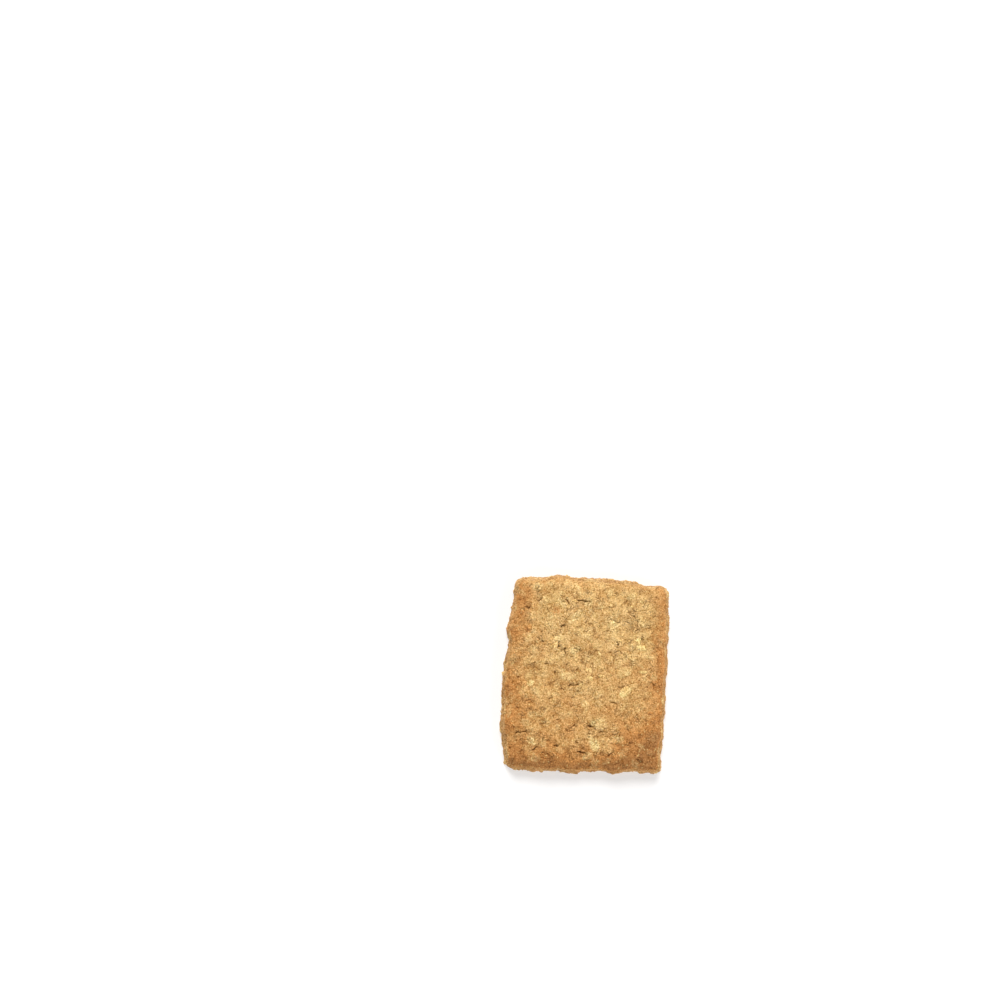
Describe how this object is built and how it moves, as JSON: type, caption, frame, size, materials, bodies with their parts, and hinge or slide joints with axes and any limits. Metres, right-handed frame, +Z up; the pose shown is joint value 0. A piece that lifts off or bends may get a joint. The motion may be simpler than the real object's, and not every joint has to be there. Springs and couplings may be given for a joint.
{
  "type": "oatcake",
  "caption": "Oblong baked oat biscuit with an uneven outline, leaning sides, rounded shoulders, thin corners and a rough browned top, lying on its flat underside.",
  "frame": {"origin": "middle of the flat underside's bounding box, where the biscuit rests", "axes": "+Z up out of the browned top face, +Y along the long side, +X across the short side"},
  "size_m": [0.0522, 0.0628, 0.0073],
  "materials": {
    "baked_oat_dough": "matte"
  },
  "bodies": {
    "root": {"oatcake": "baked_oat_dough"}
  },
  "joints": []
}
